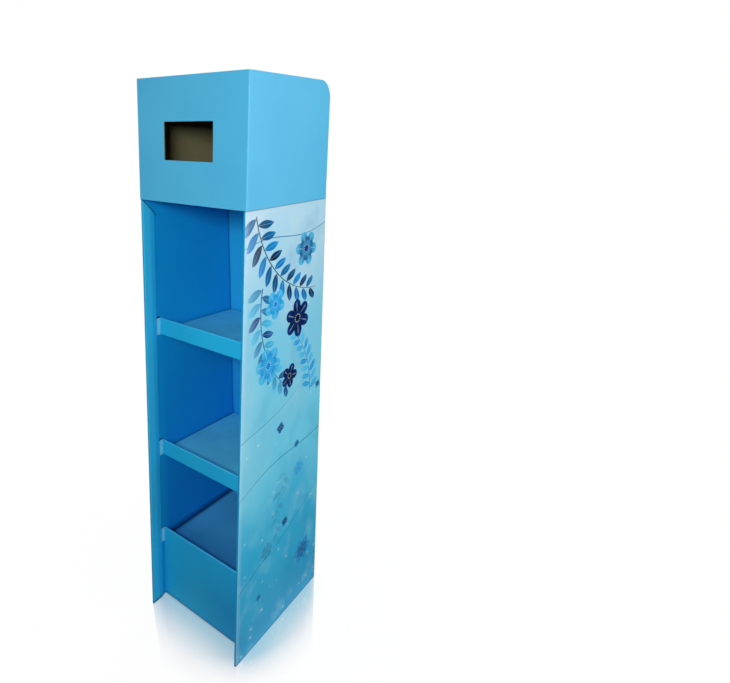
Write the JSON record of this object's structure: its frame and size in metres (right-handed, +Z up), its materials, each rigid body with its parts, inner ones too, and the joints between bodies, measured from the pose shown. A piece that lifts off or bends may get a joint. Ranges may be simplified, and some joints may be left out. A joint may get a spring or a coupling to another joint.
{
  "type": "cardboard display stand",
  "caption": "Tall floor display of folded corrugated board with a leaning front, open bays with lipped shelves, a kick panel and a header sleeve with a rectangular window.",
  "frame": {"origin": "on the floor, midway across the stand and midway between its front edge and its back", "axes": "+X to the right seen from the front, +Y from the front to the back, +Z up"},
  "size_m": [0.345, 0.387, 1.493],
  "materials": {
    "outer_print": "satin print",
    "liner_board": "satin print",
    "tray_board": "satin print",
    "header_board": "satin print"
  },
  "bodies": {
    "root": {"outer_wrap": "outer_print", "liner": "liner_board", "base_tray": "tray_board", "lower_shelf": "tray_board", "upper_shelf": "tray_board", "bay_roof": "liner_board", "header": "header_board"}
  },
  "joints": []
}
